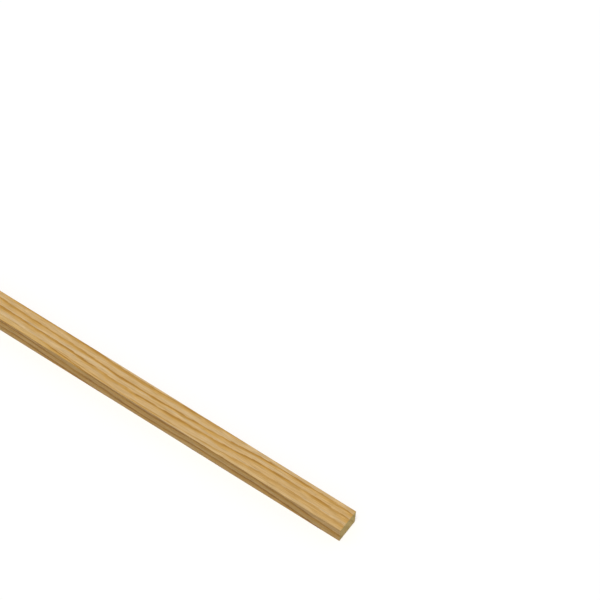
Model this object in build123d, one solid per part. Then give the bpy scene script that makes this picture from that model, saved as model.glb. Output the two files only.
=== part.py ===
from build123d import *

import os

# A cover strip: one length of planed softwood with a plain rectangular section. It is planed
# on its four long faces, its long arrises are eased, and both ends are sawn off square.
# It lies on its back, the wide face that goes over the gap. Sizes are in millimetres.
# +X runs along the grain, +Y across the width, +Z from the back face out to the show face,
# and the origin is the middle of the back face.

# Driving dimensions
LENGTH = 1000.0      # one sold length, sawn end to sawn end
WIDTH = 20.0         # back face and show face, measured over the eased arrises
THICKNESS = 15.0     # back face to show face
ARRIS_RADIUS = 0.3   # light round that the planer leaves on each long edge


def strip_section():
    """The planed section, with the back face on the base line and the arrises rounded."""
    outline = RectangleRounded(WIDTH, THICKNESS, ARRIS_RADIUS)
    return Pos(0, THICKNESS / 2) * outline


def cover_strip():
    """The strip itself: the section run along the grain, half of the length each way."""
    strip = extrude(Plane.YZ * strip_section(), LENGTH / 2, both=True)
    strip.label = "cover_strip"
    return strip


os.makedirs("parts", exist_ok=True)
export_step(cover_strip(), "parts/cover_strip.step")
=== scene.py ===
# %% [markdown]
# # A planed pine cover strip
# A cover strip is trim: a slim length of softwood that is pinned or glued over the gap between two
# boards. This one is a single piece of pine, planed on four sides and sawn off square at the ends.
# There is nothing to assemble, so all of its character is in the wood: growth rings that run along
# the faces as dark lines, fine fibre, and the duller sawn end.
#
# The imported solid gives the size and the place. Every size below is worked out from its box or
# written as a real size in metres, and +X runs along the grain.

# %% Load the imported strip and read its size
import math

import bmesh
import bpy
from mathutils import Euler, Matrix, Vector, noise


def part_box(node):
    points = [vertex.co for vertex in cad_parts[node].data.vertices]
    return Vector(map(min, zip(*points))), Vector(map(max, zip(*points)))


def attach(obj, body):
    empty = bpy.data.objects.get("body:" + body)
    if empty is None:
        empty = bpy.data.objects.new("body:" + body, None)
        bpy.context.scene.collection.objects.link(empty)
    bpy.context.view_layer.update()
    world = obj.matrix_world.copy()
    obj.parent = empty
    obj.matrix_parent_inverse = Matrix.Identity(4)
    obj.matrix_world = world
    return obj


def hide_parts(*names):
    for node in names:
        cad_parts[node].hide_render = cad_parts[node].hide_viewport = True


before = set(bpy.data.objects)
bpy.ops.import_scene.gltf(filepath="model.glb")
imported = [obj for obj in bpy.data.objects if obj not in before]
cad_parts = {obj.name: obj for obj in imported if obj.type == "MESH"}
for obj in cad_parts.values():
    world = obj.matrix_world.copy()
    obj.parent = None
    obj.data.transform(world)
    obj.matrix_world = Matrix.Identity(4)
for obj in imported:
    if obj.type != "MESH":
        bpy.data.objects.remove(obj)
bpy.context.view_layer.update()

low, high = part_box("cover_strip")
LENGTH, WIDTH, THICKNESS = high - low
MM = 0.001
print("strip", [round(side / MM, 2) for side in (LENGTH, WIDTH, THICKNESS)], "mm")

# %% [markdown]
# ## The blank
# A planing mill pushes rough timber past four cutters, so every strip has the same section from
# end to end. The mesh starts with that section, as two upright grids where the sawn ends will be, and
# one operator bridges them with long faces from rim to rim. A stretched cube would give the same
# outline, but the grids leave small faces on both ends, which the saw marks need later.

# %% Set up the two ends and bridge them along the grain
CELL = 0.5 * MM
cells_wide = round(WIDTH / CELL)
cells_high = round(THICKNESS / CELL)
stood_up = Euler((math.radians(90), 0, math.radians(90)))
section_size = Vector((WIDTH, THICKNESS, 1))

strip = bmesh.new()
for end_x in (low.x, high.x):
    end_middle = Vector((end_x, (low.y + high.y) / 2, (low.z + high.z) / 2))
    end_place = Matrix.LocRotScale(end_middle, stood_up, section_size)
    bmesh.ops.create_grid(strip, x_segments=cells_wide, y_segments=cells_high, size=0.5, matrix=end_place)
rims = [edge for edge in strip.edges if edge.is_boundary]
bmesh.ops.bridge_loops(strip, edges=rims)
print("blank:", len(strip.faces), "faces, section grid", cells_wide, "x", cells_high)

# %% [markdown]
# ## The arrises
# A freshly planed arris is sharp enough to cut a finger, so the mill takes it off lightly. The
# four long edges get a true round of 0.3 millimetres with the bevel operator. The sawn ends are left
# crisp, because nothing eases them after the saw.

# %% Ease the four long arrises
ARRIS_RADIUS = 0.3 * MM
ARRIS_STEPS = 4
NEAR = 0.001 * MM


def on_a_corner(vert):
    """Whether a vertex lies on one of the blank's four long corner lines."""
    at_side = abs(abs(vert.co.y) - WIDTH / 2) < NEAR
    return at_side and min(abs(vert.co.z - low.z), abs(vert.co.z - high.z)) < NEAR


def long_edges():
    """The edges that run from one sawn end to the other."""
    return [edge for edge in strip.edges if edge.calc_length() > LENGTH / 2]


arrises = [edge for edge in long_edges() if all(on_a_corner(vert) for vert in edge.verts)]
bmesh.ops.bevel(
    strip, geom=arrises, offset=ARRIS_RADIUS, offset_type="OFFSET",
    segments=ARRIS_STEPS, profile=0.5, affect="EDGES", material=-1,
)
print("arrises eased:", len(arrises))

# %% [markdown]
# ## Short slices
# So far each long face is one run of faces a metre long. The growth rings wander along the strip,
# and a mesh can only follow them where it has vertices. Cutting all the long edges at once slices
# the strip like a loaf. An even number of slices leaves a cut at mid length, where the unrolled
# map is split later. The operator leaves its new faces in a different order each time, so they are
# sorted by their vertices, and every run of this script gives the very same mesh.

# %% Slice the long faces
SLICE = 2.5 * MM


def place_in_order(face):
    """A number to sort faces by: the first of its vertices, and then the last."""
    indices = [vert.index for vert in face.verts]
    return min(indices) * len(strip.verts) + max(indices)


slices = 2 * round(LENGTH / SLICE / 2)
bmesh.ops.subdivide_edges(strip, edges=long_edges(), cuts=slices - 1, use_grid_fill=True)
bmesh.ops.recalc_face_normals(strip, faces=strip.faces)
strip.verts.index_update()
strip.faces.sort(key=place_in_order)
open_edges = sum(not edge.is_manifold for edge in strip.edges)
print("slices:", slices, "faces:", len(strip.faces), "open edges:", open_edges)

# %% [markdown]
# ## The growth rings
# A tree adds one ring a year round its pith, so inside the trunk the rings are nested tubes. The
# strip was sawn from outside the pith, which lay in front of it and below. Where a tube meets a
# planed face it shows as a long line, and on a sawn end as an arc. Lines could be painted on each
# face by itself, but a line that stops at a corner and goes on in another place gives a copy away.
# So the tubes are worked out in space, and every face shows a cut through the same ones.
#
# A trunk is never straight. As it grew it leaned now one way and now another, so two rings are
# enough to describe it: an inner and an outer one, each with a middle, a radius, and slow waves in
# which it sweeps from side to side. The values follow the lines in the photograph.

# %% Two rings that sweep from side to side
PITH_Z = -20.0 * MM
INNER_MIDDLE = -43.84 * MM
OUTER_MIDDLE = -46.09 * MM
INNER_RADIUS = 47.9 * MM
OUTER_RADIUS = 52.7 * MM
# How far a wave sweeps, how long it is, and how far from the visible end it crests
INNER_WAVES = (
    (3.94 * MM, 900 * MM, 350 * MM),
    (2.0 * MM, 206 * MM, 83 * MM),
    (0.3 * MM, 83 * MM, 49 * MM),
)
OUTER_WAVES = (
    (2.45 * MM, 294 * MM, 58 * MM),
    (1.14 * MM, 207 * MM, 28 * MM),
    (0.34 * MM, 80 * MM, -2.5 * MM),
)


def past_ring(place, middle, radius, waves):
    """How far a point lies outside a ring; below 0 it lies inside."""
    from_end = high.x - place.x
    swept = sum(far * math.cos(math.tau * (from_end - crest) / long) for far, long, crest in waves)
    return math.hypot(place.y - middle - swept, place.z - PITH_Z) - radius


show_corner = Vector((high.x, low.y, high.z))
past_inner = past_ring(show_corner, INNER_MIDDLE, INNER_RADIUS, INNER_WAVES)
print("the front corner of the show face lies", round(past_inner / MM, 1), "mm outside the inner ring")

# %% [markdown]
# ## Uneven growth
# Up close a line isn't a smooth wave. Branches and wounds pushed the bark in and out a little as
# the tree grew over them, so the rings waver together. Two sizes of noise are enough: slow
# patches and small ones, both drawn out along the grain.

# %% Let the rings waver
# How far a line wavers, and how long and how wide one patch of it is
WAVERS = ((0.33 * MM, 26 * MM, 9 * MM), (0.19 * MM, 9 * MM, 5 * MM))
WAVER_SHIFT = Vector((0, 0, 105.5))


def waver(place):
    """How far a point's rings have been pushed inwards."""
    pushed_in = 0.0
    for far, long, wide in WAVERS:
        patch = Vector((place.x / long, place.y / wide, place.z / wide))
        pushed_in += far * noise.noise(patch + WAVER_SHIFT)
    return pushed_in


print("waver at the same corner:", round(waver(show_corner) / MM, 2), "mm")

# %% [markdown]
# ## The years
# Each point of the strip now gets a ring number: the years counted outwards to it, and after the
# point how late in the year it grew. Good summers make wide rings and dry ones narrow, so each year
# has a width of its own. The year between the two sweeping rings is lopsided, and as wide as the
# room they leave. Where they leave hardly any, the year before it has little dark wood as well.

# %% Count the years
LOPSIDED_YEAR = 4
INNER_WIDTHS = (4.9 * MM, 4.1 * MM, 4.6 * MM, 4.3 * MM)
OUTER_WIDTHS = (4.8 * MM, 4.0 * MM, 5.35 * MM, 4.2 * MM)
# With less room than this, the year before gets a shorter summer, and this much shorter at the most
SQUEEZED_UNDER = 1.5 * MM
SHORT_SUMMER = 3.0
JUST_SHORT = 0.001


def years_in(distance, widths):
    """How many years fit into a distance, counted in parts, and never quite all of them."""
    for year, width in enumerate(widths):
        if distance < width:
            return year + distance / width
        distance -= width
    return len(widths) - JUST_SHORT


def ring_number(place):
    """The years counted outwards to a point: the whole part is the year, the rest how late in it."""
    beyond = past_ring(place, OUTER_MIDDLE, OUTER_RADIUS, OUTER_WAVES) + waver(place)
    if beyond >= 0:
        return LOPSIDED_YEAR + 1 + years_in(beyond, OUTER_WIDTHS)
    within = past_ring(place, INNER_MIDDLE, INNER_RADIUS, INNER_WAVES) + waver(place)
    room = within - beyond
    if within > 0:
        return LOPSIDED_YEAR + within / room
    years_back = years_in(-within, INNER_WIDTHS)
    if years_back > 1:
        return LOPSIDED_YEAR - years_back
    squeezed = max(0.0, min(1.0, 1 - room / SQUEEZED_UNDER))
    return LOPSIDED_YEAR - 1 + (1 - years_back) ** (1 + SHORT_SUMMER * squeezed)


at_edges = [ring_number(Vector((high.x, y, high.z))) for y in (low.y, high.y)]
print("rings that cross the show face at the visible end:", round(at_edges[1] - at_edges[0], 2))

# %% [markdown]
# ## Raised grain
# The planer presses the soft early wood down and it never quite comes back level with the hard
# late wood, so a planed face has a grain that a fingertip can feel. The ring number is written on
# every vertex as an attribute, for the colours to read later, and the early wood is lowered by a
# few hundredths of a millimetre. It is lowered rather than the late wood raised, so that the
# strip stays inside its solid.

# %% Write the rings on the mesh and lower the early wood
RAISED_GRAIN = 0.04 * MM
LATE_FROM, LATE_FULL = 0.45, 0.92


def outwards(place):
    """The way out of the rounded section at a point on its outline, and nothing inside it."""
    core_y = max(low.y + ARRIS_RADIUS, min(high.y - ARRIS_RADIUS, place.y))
    core_z = max(low.z + ARRIS_RADIUS, min(high.z - ARRIS_RADIUS, place.z))
    return Vector((0, place.y - core_y, place.z - core_z)) / ARRIS_RADIUS


def late_share(ring):
    """How much of the late wood a ring number has reached, from 0 to 1."""
    share = max(0.0, min(1.0, (ring % 1 - LATE_FROM) / (LATE_FULL - LATE_FROM)))
    return share * share * (3 - 2 * share)


ring_mark = strip.verts.layers.float.new("ring")
arris_mark = strip.verts.layers.float.new("arris")
for vert in strip.verts:
    way_out = outwards(vert.co)
    vert[ring_mark] = ring_number(vert.co)
    vert[arris_mark] = 2 * abs(way_out.y * way_out.z)
    vert.co -= way_out * RAISED_GRAIN * (1 - late_share(vert[ring_mark]))
print("vertices marked:", len(strip.verts))

# %% [markdown]
# ## The saw's arcs
# A circular saw leaves shallow arcs across the end, one for each turn of the blade, and plucks at
# the fibres along the rim. The arcs are cut into the mesh: how far a vertex of an end moves inwards
# depends on its distance from the saw's axle. The rim gets a little noise of its own.

# %% Cut the saw's arcs into both ends
# The axle's place across the end and upwards
SAW_AXLE = Vector((60 * MM, -115 * MM))
BLADE_TURN = 2.1 * MM
SAW_DEPTH = 0.05 * MM
PLUCKED = 0.12 * MM
PLUCK_SIZE = 1.3 * MM
RIM_FROM = 0.5

end_verts = [vert for vert in strip.verts if abs(abs(vert.co.x) - LENGTH / 2) < NEAR]
for vert in end_verts:
    reach = (Vector((vert.co.y, vert.co.z)) - SAW_AXLE).length
    inwards = SAW_DEPTH * (0.5 - 0.5 * math.cos(math.tau * reach / BLADE_TURN))
    if outwards(vert.co).length > RIM_FROM:
        inwards += PLUCKED * abs(noise.noise(vert.co / PLUCK_SIZE))
    vert.co.x -= math.copysign(inwards, vert.co.x)
print("vertices on the two sawn ends:", len(end_verts))

# %% [markdown]
# ## Planed or sawn
# The two kinds of surface will get two finishes, so each face is told which it is. All faces are
# shaded smoothly, and the edge between the two kinds is marked sharp, so that the end looks sawn
# off and not rounded over.

# %% Tell the sawn faces from the planed ones
PLANED, SAWN = 0, 1
SAWN_FROM = 0.7
for face in strip.faces:
    face.smooth = True
    face.material_index = SAWN if abs(face.normal.x) > SAWN_FROM else PLANED
for edge in strip.edges:
    kinds = {face.material_index for face in edge.link_faces}
    edge.smooth = len(kinds) == 1
print("sawn faces:", sum(face.material_index == SAWN for face in strip.faces))

# %% [markdown]
# ## The unrolled map
# If the strip's colours are baked into one square picture, a strip fifty times as long as it is wide
# would waste nearly all of it. So each planed face is unrolled in two half lengths, one under the
# other, and the two sawn ends share the last row at twice the size. Along the grain the wood changes
# slowly, so it doesn't matter that those pixels are longer.

# %% Give every face a row on the map
GAP = 1.2 * MM
END_SIZE = 2.0
rows = {}
next_row = GAP
for half in (-1, 1):
    for facing, tall in (("up", WIDTH), ("down", WIDTH), ("front", THICKNESS), ("back", THICKNESS)):
        rows[facing, half] = next_row
        next_row += tall + GAP
end_row = next_row
end_step = WIDTH * END_SIZE + GAP
map_height = end_row + THICKNESS * END_SIZE + GAP
print("map:", len(rows), "rows and the ends, height", round(map_height / MM, 1), "mm")

# %% [markdown]
# A face finds its row by the way it faces, and each half of a rounded arris goes with the long face
# next to it. The place of each corner is then measured along the grain and across it.

# %% Unroll the faces onto the map
def facing_of(face):
    """Which of the four long faces a face belongs to."""
    if abs(face.normal.z) >= abs(face.normal.y):
        return "up" if face.normal.z > 0 else "down"
    return "back" if face.normal.y > 0 else "front"


def map_place(face, place):
    """Where a corner of a face lies on the map, with 1 as the map's side."""
    half = 1 if face.calc_center_median().x > 0 else -1
    if face.material_index == SAWN:
        start = GAP if half == 1 else GAP + end_step
        across = start + (place.y - low.y) * END_SIZE
        return across / map_height, (end_row + (place.z - low.z) * END_SIZE) / map_height
    facing = facing_of(face)
    side_step = place.y - low.y if facing in ("up", "down") else place.z - low.z
    margin = GAP / map_height
    along = margin + abs(place.x) / (LENGTH / 2) * (1 - 2 * margin)
    return along, (rows[facing, half] + side_step) / map_height


unrolled = strip.loops.layers.uv.new("OFBake")
for face in strip.faces:
    for corner in face.loops:
        corner[unrolled].uv = map_place(face, corner.vert.co)
print("corners unrolled:", sum(len(face.loops) for face in strip.faces))

# %% [markdown]
# ## Late wood
# Within a year the wood goes from pale to dark: wide spring cells first, then ever denser summer
# cells, and then winter, where it stops with a sharp edge. So a growth line is soft on its pith
# side and crisp on its bark side. The planed faces and the sawn ends both need this, so it becomes
# a node group, a small tree of nodes with named inputs and outputs that any material can hold. It
# is given the ring number and the place, and hands back three masks: the dark line, the golden glow
# beside it, and the warmer heartwood near the pith.

# %% Start the group for late wood
NUMBER = "NodeSocketFloat"
VECTOR = "NodeSocketVector"


def new_group(name, inputs, outputs):
    """An empty node group, with its way in and its way out."""
    group = bpy.data.node_groups.new(name, "ShaderNodeTree")
    for side, sockets in (("INPUT", inputs), ("OUTPUT", outputs)):
        for socket_name, kind in sockets.items():
            group.interface.new_socket(socket_name, in_out=side, socket_type=kind)
    way_in = group.nodes.new("NodeGroupInput").outputs
    way_out = group.nodes.new("NodeGroupOutput").inputs
    return group, way_in, way_out


ring_group, ring_in, ring_out = new_group(
    "late_wood",
    {"Ring": NUMBER, "Place": VECTOR},
    {"Line": NUMBER, "Glow": NUMBER, "Heart": NUMBER},
)
print("group", ring_group.name, "hands back", [socket.name for socket in ring_out if socket.name])

# %% [markdown]
# ## Ragged lines
# Each row of cells stopped growing on a day of its own, so the edge of a line is ragged along the
# fibres. Noise that is drawn out along the grain is added to the ring number before anything is
# made of it. Every node is added by a small helper, which feeds it with sockets or plain values and
# hands back its output, so that what follows reads like a recipe.

# %% Make the ring number ragged
def feed(tree, given, socket):
    """Links a socket, or sets a plain value."""
    if isinstance(given, bpy.types.NodeSocket):
        tree.links.new(given, socket)
    else:
        socket.default_value = given


def maths(tree, operation, *given):
    """A Math node's result."""
    node = tree.nodes.new("ShaderNodeMath")
    node.operation = operation
    for slot, value in enumerate(given):
        feed(tree, value, node.inputs[slot])
    return node.outputs[0]


def grain_noise(tree, place, along, across, detail=2.0, shift=0.0):
    """Noise drawn out along the grain, with patches of about these sizes in metres."""
    stretch = tree.nodes.new("ShaderNodeMapping")
    stretch.inputs["Location"].default_value = (shift, shift, shift)
    stretch.inputs["Scale"].default_value = (1 / along, 1 / across, 1 / across)
    tree.links.new(place, stretch.inputs["Vector"])
    node = tree.nodes.new("ShaderNodeTexNoise")
    node.inputs["Scale"].default_value = 1.0
    node.inputs["Detail"].default_value = detail
    tree.links.new(stretch.outputs[0], node.inputs["Vector"])
    return node.outputs[0]


RAGGED_BY = 0.36
RAGGED_LONG, RAGGED_WIDE = 10 * MM, 0.5 * MM
NOISE_MIDDLE = 0.5
ring_place = ring_in["Place"]
raw_edge = grain_noise(ring_group, ring_place, RAGGED_LONG, RAGGED_WIDE)
uneven = maths(ring_group, "SUBTRACT", raw_edge, NOISE_MIDDLE)
ragged_ring = maths(ring_group, "MULTIPLY_ADD", uneven, RAGGED_BY, ring_in["Ring"])
lateness = maths(ring_group, "FRACT", ragged_ring)
print("lines are ragged by up to", RAGGED_BY / 2, "of a year")

# %% [markdown]
# ## Soft on one side, crisp on the other
# The part of the ring number after the point says how late in the year the wood grew. A smooth
# step up over the summer and a quick one down at winter turn it into a line. The glow is the same
# shape with an earlier start. In some patches summer comes sooner than in others, which makes a line
# broad here and narrow there.

# %% Shape the line and its glow
def from_to(tree, value, start, end, at_start, at_end):
    """A value's smooth step from one level to another."""
    node = tree.nodes.new("ShaderNodeMapRange")
    node.interpolation_type = "SMOOTHSTEP"
    for slot, given in enumerate((value, start, end, at_start, at_end)):
        feed(tree, given, node.inputs[slot])
    return node.outputs[0]


# Parts of a year: where a line and its glow start, at the earliest and the latest, and where both are full
LINE_STARTS, LINE_FULL = (0.44, 0.74), 0.96
GLOW_STARTS, GLOW_FULL = (0.0, 0.55), 0.88
WINTER_FROM, WINTER_FULL = 0.97, 1.0
PATCH_LONG, PATCH_WIDE = 18 * MM, 2.5 * MM
# Noise runs from 0 to 1 but is mostly between these
NOISE_LOW, NOISE_HIGH = 0.3, 0.7

winter = from_to(ring_group, lateness, WINTER_FROM, WINTER_FULL, 1.0, 0.0)
patches = grain_noise(ring_group, ring_place, PATCH_LONG, PATCH_WIDE, shift=5.2)
line_start = from_to(ring_group, patches, NOISE_LOW, NOISE_HIGH, *LINE_STARTS)
glow_start = from_to(ring_group, patches, NOISE_LOW, NOISE_HIGH, *GLOW_STARTS)
line_up = from_to(ring_group, lateness, line_start, LINE_FULL, 0.0, 1.0)
glow_up = from_to(ring_group, lateness, glow_start, GLOW_FULL, 0.0, 1.0)
line = maths(ring_group, "MULTIPLY", line_up, winter)
glow = maths(ring_group, "MULTIPLY", glow_up, winter)
print("a line takes up", [round(1 - start, 2) for start in LINE_STARTS], "of its year")

# %% [markdown]
# ## No two years alike
# A dry summer leaves a dark line and a wet one a faint line. A colour ramp with a stop for each
# year holds how dark that line is in its red and how golden the wood beside it in its green, so one
# ramp gives both.

# %% Give each year its own strength
YEAR_TONES = (
    (0.8, 0.9), (1.0, 1.0), (1.0, 1.0), (1.0, 1.0), (0.5, 0.65),
    (1.0, 1.0), (1.0, 1.0), (1.0, 1.0), (0.9, 0.9),
)
year_ramp = ring_group.nodes.new("ShaderNodeValToRGB")
year_ramp.color_ramp.interpolation = "CONSTANT"
stops = year_ramp.color_ramp.elements
stops.remove(stops[1])
for year, (dark, golden) in enumerate(YEAR_TONES):
    stop = stops[0] if year == 0 else stops.new(year / len(YEAR_TONES))
    stop.color = (dark, golden, 0, 1)
feed(ring_group, maths(ring_group, "DIVIDE", ragged_ring, len(YEAR_TONES)), year_ramp.inputs["Fac"])
year_tone = ring_group.nodes.new("ShaderNodeSeparateColor")
ring_group.links.new(year_ramp.outputs[0], year_tone.inputs[0])
print("years with a tone of their own:", len(stops))

# %% [markdown]
# Nor is a line the same all the way along. Slow noise lets each one fade and come back, the dark line
# more than its glow, and the two masks are then handed out of the group.

# %% Let the lines fade in and out
FADE_LONG, FADE_WIDE = 28 * MM, 4 * MM
FAINT_UNDER, STRONG_OVER = 0.3, 0.6
FAINTEST_LINE = 0.5
FAINTEST_GLOW = 0.75

fading = grain_noise(ring_group, ring_place, FADE_LONG, FADE_WIDE, detail=1.0, shift=53.3)
for mask, channel, faintest, name in (
    (line, "Red", FAINTEST_LINE, "Line"),
    (glow, "Green", FAINTEST_GLOW, "Glow"),
):
    by_year = maths(ring_group, "MULTIPLY", mask, year_tone.outputs[channel])
    strength = from_to(ring_group, fading, FAINT_UNDER, STRONG_OVER, faintest, 1.0)
    feed(ring_group, maths(ring_group, "MULTIPLY", by_year, strength), ring_out[name])
print("at its faintest a line keeps", FAINTEST_LINE, "of its strength")

# %% [markdown]
# ## Heartwood
# The oldest wood, nearest the pith, is a shade warmer. It comes to the surface on the front of the
# strip, and it ends gradually over a year or so.

# %% Say where the heartwood ends
HEART_FULL = 3.4
HEART_ENDS = 4.8
feed(ring_group, from_to(ring_group, ragged_ring, HEART_FULL, HEART_ENDS, 1.0, 0.0), ring_out["Heart"])
print("group", ring_group.name, "has", len(ring_group.nodes), "nodes")

# %% [markdown]
# ## Fibre
# Pine is made of tubes a few millimetres long and thinner than a hair, all lying along the grain.
# They show as fine streaks, and here and there a resin canal shows as a short dark dash. Noise
# that is drawn out along X gives streaks on the long faces, and on the sawn ends, where it is cut
# across, the same noise gives the dots of the end grain.

# %% The group that draws fibre
fibre_group, fibre_in, fibre_out = new_group(
    "fibre",
    {"Place": VECTOR},
    {"Fine": NUMBER, "Streaks": NUMBER, "Broad": NUMBER, "Canals": NUMBER},
)
# A streak's length and width, how much detail it has, and a shift so that no two kinds fall together
STREAK_KINDS = {
    "Fine": (12 * MM, 0.32 * MM, 3.0, 0.0),
    "Streaks": (11 * MM, 0.9 * MM, 2.0, 4.4),
    "Broad": (140 * MM, 2.6 * MM, 2.0, 7.7),
}
CANAL_LONG, CANAL_WIDE = 4 * MM, 0.2 * MM
CANAL_FROM, CANAL_FULL = 0.70, 0.78

fibre_place = fibre_in["Place"]
for name, kind in STREAK_KINDS.items():
    feed(fibre_group, grain_noise(fibre_group, fibre_place, *kind), fibre_out[name])
dashes = grain_noise(fibre_group, fibre_place, CANAL_LONG, CANAL_WIDE, detail=0.0, shift=1.3)
feed(fibre_group, from_to(fibre_group, dashes, CANAL_FROM, CANAL_FULL, 0.0, 1.0), fibre_out["Canals"])
print("group", fibre_group.name, "has", len(fibre_group.nodes), "nodes")

# %% [markdown]
# ## A finish with both groups in it
# A material reads where it is by the Texture Coordinate node. The object's own coordinates are
# used, because they stay with the strip when it is moved. Both finishes need the place, the ring
# number from the mesh and the two groups, so one helper makes them ready. Bare wood has no varnish,
# so it mirrors less than the shader does by default.

# %% Make the finish of the planed faces ready
BARE_SHINE = 0.3


def new_finish(name):
    """A material with its shader, and the place, the rings and the fibre that it can read."""
    finish = bpy.data.materials.new(name)
    finish.use_nodes = True
    tree = finish.node_tree
    place = tree.nodes.new("ShaderNodeTexCoord").outputs["Object"]
    rings = tree.nodes.new("ShaderNodeGroup")
    rings.node_tree = ring_group
    fibre = tree.nodes.new("ShaderNodeGroup")
    fibre.node_tree = fibre_group
    for group in (rings, fibre):
        tree.links.new(place, group.inputs["Place"])
    ring = tree.nodes.new("ShaderNodeAttribute")
    ring.attribute_name = "ring"
    tree.links.new(ring.outputs["Fac"], rings.inputs["Ring"])
    shader = tree.nodes["Principled BSDF"]
    shader.inputs["Specular IOR Level"].default_value = BARE_SHINE
    return finish, shader, place, rings.outputs, fibre.outputs


planed, shader, place, rings, fibre = new_finish("planed_faces")
tree = planed.node_tree
print("finish", planed.name, "is ready")

# %% [markdown]
# ## Straw, honey and brown
# Planed pine is pale straw, a little deeper in long broad streaks. Each year glows golden before it
# ends in a honey-brown line, and the heartwood is a shade warmer, with stronger lines. The colours are
# laid over one another in that order, each through its mask. They are written as a paint programme
# shows them and turned into the linear values that a shader works with.

# %% Lay the colours of the planed faces
def colour(red, green, blue):
    """A colour from 0 to 255 as it looks on screen, as linear red, green, blue and alpha."""
    shares = (level / 255 for level in (red, green, blue))
    return [s / 12.92 if s <= 0.04045 else ((s + 0.055) / 1.055) ** 2.4 for s in shares] + [1.0]


def blend(tree, share, first, second, way="MIX"):
    """Two colours mixed by a share."""
    node = tree.nodes.new("ShaderNodeMix")
    node.data_type = "RGBA"
    node.blend_type = way
    for slot, given in ((0, share), (6, first), (7, second)):
        feed(tree, given, node.inputs[slot])
    return node.outputs[2]


EARLY_WOOD = colour(206, 176, 129)
EARLY_WOOD_DEEP = colour(201, 164, 107)
GOLDEN = colour(194, 148, 62)
LATE_WOOD = colour(146, 97, 32)
HEART_TINT = colour(255, 252, 233)
LINE_SHARE = 0.70
HEART_LINE_GAIN = 0.24

deep_share = from_to(tree, fibre["Broad"], NOISE_LOW, NOISE_HIGH, 0.0, 1.0)
wood = blend(tree, deep_share, EARLY_WOOD, EARLY_WOOD_DEEP)
wood = blend(tree, rings["Glow"], wood, GOLDEN)
line_share = maths(tree, "MULTIPLY_ADD", rings["Heart"], HEART_LINE_GAIN, LINE_SHARE)
wood = blend(tree, maths(tree, "MULTIPLY", rings["Line"], line_share), wood, LATE_WOOD)
wood = blend(tree, rings["Heart"], wood, blend(tree, 1.0, wood, HEART_TINT, "MULTIPLY"))
print("early wood in linear light:", [round(level, 3) for level in EARLY_WOOD[:3]])

# %% [markdown]
# ## Streaks and canals
# The fibre goes over all of it as a light and dark play, fine hairs first and wider streaks over
# them. The resin canals come last, as faint brown dashes.

# %% Draw the fibre on the planed faces
def shaded(tree, wood, share):
    """A colour made lighter or darker by a share that varies over the surface."""
    grey = tree.nodes.new("ShaderNodeCombineColor")
    for channel in ("Red", "Green", "Blue"):
        tree.links.new(share, grey.inputs[channel])
    return blend(tree, 1.0, wood, grey.outputs[0], "MULTIPLY")


FIBRE_LOW, FIBRE_HIGH = 0.25, 0.75
FINE_SHADES = (0.85, 1.11)
STREAK_SHADES = (0.90, 1.09)
CANAL_BROWN = colour(140, 98, 52)
CANAL_SHARE = 0.35

wood = shaded(tree, wood, from_to(tree, fibre["Fine"], FIBRE_LOW, FIBRE_HIGH, *FINE_SHADES))
wood = shaded(tree, wood, from_to(tree, fibre["Streaks"], FIBRE_LOW, FIBRE_HIGH, *STREAK_SHADES))
wood = blend(tree, maths(tree, "MULTIPLY", fibre["Canals"], CANAL_SHARE), wood, CANAL_BROWN)
feed(tree, wood, shader.inputs["Base Color"])
print("colour made from", len(tree.nodes), "nodes")

# %% [markdown]
# ## Shine and touch
# Bare wood is matt, and the hard late wood is a little glossier than the soft early wood. The eased
# arrises are burnished by the cutter and by hands. The fibres themselves are far finer than the
# mesh, so a bump node lifts them.

# %% Set the shine and the relief of the planed faces
SOFT_ROUGH, HARD_ROUGH = 0.68, 0.54
BURNISHED_BY = 0.12
HAIR_HEIGHT = 0.05 * MM
HAIR_STRENGTH = 0.35

arris = tree.nodes.new("ShaderNodeAttribute")
arris.attribute_name = "arris"
dull = from_to(tree, rings["Line"], 0.0, 1.0, SOFT_ROUGH, HARD_ROUGH)
feed(tree, maths(tree, "MULTIPLY_ADD", arris.outputs["Fac"], -BURNISHED_BY, dull), shader.inputs["Roughness"])

relief = tree.nodes.new("ShaderNodeBump")
relief.inputs["Strength"].default_value = HAIR_STRENGTH
relief.inputs["Distance"].default_value = HAIR_HEIGHT
feed(tree, fibre["Fine"], relief.inputs["Height"])
feed(tree, relief.outputs[0], shader.inputs["Normal"])
print("finish", planed.name, "has", len(tree.nodes), "nodes")

# %% [markdown]
# ## End grain
# On an end the fibres stand upright and soak up light, so the wood looks greyer and a little green
# beside the planed faces, and the saw has blurred the rings. The same two groups draw it, with only
# part of the glow and none of the dark line.

# %% Lay the colours of the sawn ends
END_PALE = colour(206, 182, 117)
END_LATE = colour(168, 143, 80)
END_HEART = colour(183, 161, 98)
END_LATE_SHARE = 0.6
END_SHADES = (0.90, 1.08)
END_CANAL_SHARE = 0.3

sawn, shader, place, rings, fibre = new_finish("sawn_ends")
tree = sawn.node_tree
wood = blend(tree, rings["Heart"], END_PALE, END_HEART)
wood = blend(tree, maths(tree, "MULTIPLY", rings["Glow"], END_LATE_SHARE), wood, END_LATE)
wood = shaded(tree, wood, from_to(tree, fibre["Fine"], FIBRE_LOW, FIBRE_HIGH, *END_SHADES))
wood = blend(tree, maths(tree, "MULTIPLY", fibre["Canals"], END_CANAL_SHARE), wood, CANAL_BROWN)
feed(tree, wood, shader.inputs["Base Color"])
print("end colours made from", len(tree.nodes), "nodes")

# %% [markdown]
# ## Fine saw marks
# Between the arcs that are cut into the mesh run finer ones, from the single teeth. They follow the
# same axle: the distance to it goes through a sine, and the bump node takes that together with the
# broken fibres, which also make the end rougher than a planed face.

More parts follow.
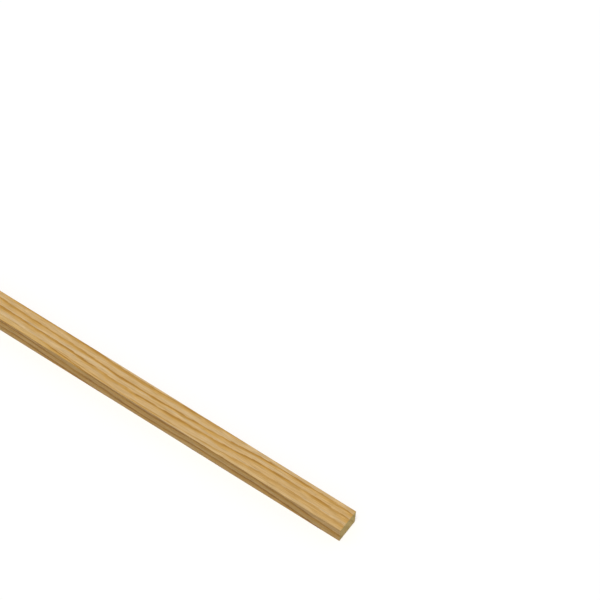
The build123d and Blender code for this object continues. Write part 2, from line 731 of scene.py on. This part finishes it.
# %% Ripple the sawn ends
TOOTH_PITCH = 0.6 * MM
TOOTH_SHARE = 0.25
TORN_HEIGHT = 0.06 * MM
TORN_STRENGTH = 0.5
ROUGH_LOW, ROUGH_HIGH = 0.2, 0.8
END_ROUGH = (0.7, 0.9)

flat_place = tree.nodes.new("ShaderNodeVectorMath")
flat_place.operation = "MULTIPLY"
flat_place.inputs[1].default_value = (0, 1, 1)
tree.links.new(place, flat_place.inputs[0])
from_axle = tree.nodes.new("ShaderNodeVectorMath")
from_axle.operation = "DISTANCE"
from_axle.inputs[1].default_value = (0, SAW_AXLE.x, SAW_AXLE.y)
tree.links.new(flat_place.outputs[0], from_axle.inputs[0])

arcs = maths(tree, "SINE", maths(tree, "MULTIPLY", from_axle.outputs["Value"], math.tau / TOOTH_PITCH))
relief = tree.nodes.new("ShaderNodeBump")
relief.inputs["Strength"].default_value = TORN_STRENGTH
relief.inputs["Distance"].default_value = TORN_HEIGHT
feed(tree, maths(tree, "MULTIPLY_ADD", arcs, TOOTH_SHARE, fibre["Fine"]), relief.inputs["Height"])
feed(tree, relief.outputs[0], shader.inputs["Normal"])
feed(tree, from_to(tree, fibre["Fine"], ROUGH_LOW, ROUGH_HIGH, *END_ROUGH), shader.inputs["Roughness"])
print("finish", sawn.name, "has", len(tree.nodes), "nodes")

# %% [markdown]
# ## The finished piece
# The mesh becomes an object with both finishes, takes the place of the plain solid, and rides on
# the part's one body.

# %% Make the strip an object in the part
strip_mesh = bpy.data.meshes.new("cover_strip_wood")
strip.to_mesh(strip_mesh)
strip.free()
strip_mesh.materials.append(planed)
strip_mesh.materials.append(sawn)
cover_strip_wood = bpy.data.objects.new("cover_strip_wood", strip_mesh)
bpy.context.scene.collection.objects.link(cover_strip_wood)
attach(cover_strip_wood, "root")
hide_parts("cover_strip")
strip_mesh.calc_loop_triangles()
print("triangles:", len(strip_mesh.loop_triangles))

# %% [markdown]
# ## The white floor
# The strip lies on a plain white floor. Light that bounces off a floor is what brightens the sides
# of a small object, so this one is set a little darker for bounced light than it looks to the
# camera. A Light Path node tells the two apart, and the shadow stays in both.

# %% Finish of the floor
FLOOR_BOUNCE = colour(200, 193, 182)
PAPER_WHITE = colour(255, 255, 255)


def seen_directly(tree):
    """Whether a ray comes from the camera, a mirror or a pane, as 1 or 0."""
    path = tree.nodes.new("ShaderNodeLightPath").outputs
    mirror_or_pane = maths(tree, "MAXIMUM", path["Is Glossy Ray"], path["Is Transmission Ray"])
    return maths(tree, "MAXIMUM", path["Is Camera Ray"], mirror_or_pane)


floor_finish = bpy.data.materials.new("white_floor")
floor_finish.use_nodes = True
tree = floor_finish.node_tree
shader = tree.nodes["Principled BSDF"]
shader.inputs["Roughness"].default_value = 1.0
shader.inputs["Specular IOR Level"].default_value = 0.0
feed(tree, blend(tree, seen_directly(tree), FLOOR_BOUNCE, PAPER_WHITE), shader.inputs["Base Color"])
print("floor bounces", [round(level, 2) for level in FLOOR_BOUNCE[:3]], "of the light")

# %% [markdown]
# The floor is one large face, a hair's breadth under the strip.

# %% Lay the floor
FLOOR_SIZE = 60.0
FLOOR_DROP = 0.02 * MM
floor = bmesh.new()
bmesh.ops.create_grid(floor, x_segments=1, y_segments=1, size=FLOOR_SIZE / 2)
bmesh.ops.translate(floor, verts=floor.verts, vec=(0, 0, low.z - FLOOR_DROP))
floor_mesh = bpy.data.meshes.new("white_floor")
floor.to_mesh(floor_mesh)
floor.free()
floor_mesh.materials.append(floor_finish)
white_floor = bpy.data.objects.new("white_floor", floor_mesh)
bpy.context.scene.collection.objects.link(white_floor)
print("floor:", FLOOR_SIZE, "m square")

# %% [markdown]
# ## The light
# One broad lamp hangs almost overhead, a little towards the camera, so that the show face is
# the bright one and the shadow falls behind the strip. A pale surround fills the rest. Together
# they light a level face at the plain strength at which a colour looks as it was written.

# %% Hang the lamp
LAMP_SHARE = 0.72
LAMP_TILT = math.radians(14)
LAMP_AZIMUTH = math.radians(35)
LAMP_SPREAD = math.radians(25)

lamp = bpy.data.lights.new("overhead_lamp", "SUN")
lamp.energy = LAMP_SHARE * math.pi / math.cos(LAMP_TILT)
lamp.angle = LAMP_SPREAD
overhead_lamp = bpy.data.objects.new("overhead_lamp", lamp)
overhead_lamp.rotation_euler = Euler((LAMP_TILT, 0, LAMP_AZIMUTH))
bpy.context.scene.collection.objects.link(overhead_lamp)
print("lamp energy:", round(lamp.energy, 2))

# %% [markdown]
# The surround is the world. Seen directly it is white, like the floor, and as a source of light it
# is only as strong as the fill needs to be.

# %% Set the surround
SURROUND = 0.30
world = bpy.data.worlds.new("pale_surround")
bpy.context.scene.world = world
world.use_nodes = True
tree = world.node_tree
surround = tree.nodes["Background"]
surround.inputs["Color"].default_value = PAPER_WHITE
feed(tree, from_to(tree, seen_directly(tree), 0.0, 1.0, SURROUND, 1.0), surround.inputs["Strength"])
bpy.context.scene.view_settings.view_transform = "Standard"
print("light on a level face:", round(LAMP_SHARE + SURROUND, 2))

# %% [markdown]
# ## The camera
# The photograph was taken from far off with a long lens: the two long edges of the strip hardly
# draw together. The camera looks down from in front of the strip, past its right end, and is turned
# a little on its own axis, which shows in the lean of the end's upright edges.

# %% Set up the camera
AIM = Vector((0.3622, 0.1422, 0.0))
DISTANCE = 3.881
AZIMUTH = math.radians(28.79)
ELEVATION = math.radians(57.54)
ROLL = math.radians(6.49)
LENS = 316.0
SENSOR = 36.0

camera = bpy.data.cameras.new("camera")
camera.lens = LENS
camera.sensor_width = SENSOR
camera_object = bpy.data.objects.new("camera", camera)
backwards = Vector((
    math.sin(AZIMUTH) * math.cos(ELEVATION),
    -math.cos(AZIMUTH) * math.cos(ELEVATION),
    math.sin(ELEVATION),
))
level = (-backwards).to_track_quat("-Z", "Y").to_matrix().to_4x4()
camera_object.matrix_world = (
    Matrix.Translation(AIM + backwards * DISTANCE) @ level @ Matrix.Rotation(ROLL, 4, "Z")
)
bpy.context.scene.collection.objects.link(camera_object)
bpy.context.scene.camera = camera_object
print("camera at", [round(c, 3) for c in camera_object.matrix_world.translation])
